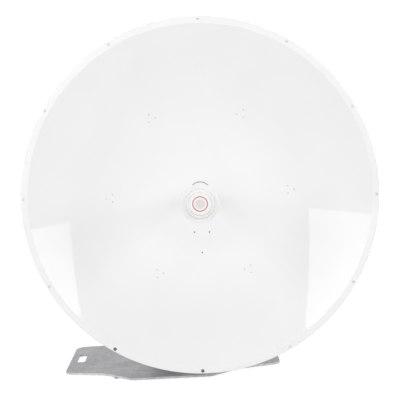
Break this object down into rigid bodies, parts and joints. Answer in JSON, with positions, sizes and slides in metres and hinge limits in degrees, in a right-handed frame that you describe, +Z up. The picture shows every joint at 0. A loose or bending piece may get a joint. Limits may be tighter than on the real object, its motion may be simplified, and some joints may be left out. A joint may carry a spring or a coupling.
{
  "type": "microwave dish antenna",
  "caption": "Solid round microwave dish antenna with a front-fed cap, ribbed back and tilt yoke, clamped to a short mast on a flat steel ground plate.",
  "frame": {"origin": "on the ground, below the dish's vertex and in the middle of the object's length and width", "axes": "+Z up; the dish looks along -Y; +X is to the right as seen from the front"},
  "size_m": [1.2, 0.932, 1.228],
  "materials": {
    "white_paint": "glossy white paint on spun aluminium sheet",
    "galvanised_steel": "dull hot-dip zinc with a faint spangle",
    "dark_steel": "blackened steel",
    "zinc_plate": "zinc-plated bolts and nuts",
    "cast_aluminium": "satin machined or cast aluminium",
    "white_plastic": "satin white moulded plastic",
    "black_plastic": "matt black moulded plastic",
    "label_film": "white film with a plain red ring"
  },
  "bodies": {
    "root": {"base_plate": "galvanised_steel", "foot_front_left": "dark_steel", "foot_front_right": "dark_steel", "foot_rear_left": "dark_steel", "foot_rear_right": "dark_steel", "mast_foot_flange": "galvanised_steel", "mast_gusset_front": "galvanised_steel", "mast_gusset_rear": "galvanised_steel", "mast_gusset_left": "galvanised_steel", "mast_gusset_right": "galvanised_steel", "mast_pole": "galvanised_steel", "mast_cap": "black_plastic", "reflector_dish": "white_paint", "rim_ring": "white_paint", "hub_drum": "galvanised_steel", "back_rib_1": "galvanised_steel", "back_rib_2": "galvanised_steel", "back_rib_3": "galvanised_steel", "back_rib_4": "galvanised_steel", "back_rib_5": "galvanised_steel", "back_rib_6": "galvanised_steel", "feed_collar": "cast_aluminium", "feed_tube": "cast_aluminium", "feed_cone": "white_plastic", "subreflector_cap": "white_plastic", "cap_label": "label_film", "feed_rear_flange": "cast_aluminium", "waveguide_port": "cast_aluminium", "port_cover": "black_plastic", "yoke_plate": "galvanised_steel", "yoke_cheek_left": "galvanised_steel", "yoke_cheek_right": "galvanised_steel", "pole_channel": "galvanised_steel", "upper_saddle": "cast_aluminium", "lower_saddle": "cast_aluminium", "upper_u_bolt": "zinc_plate", "lower_u_bolt": "zinc_plate", "elevation_pivot_bolt": "zinc_plate", "elevation_lock_bolt": "zinc_plate", "elevation_rod": "zinc_plate", "rod_trunnion": "galvanised_steel"}
  },
  "joints": []
}
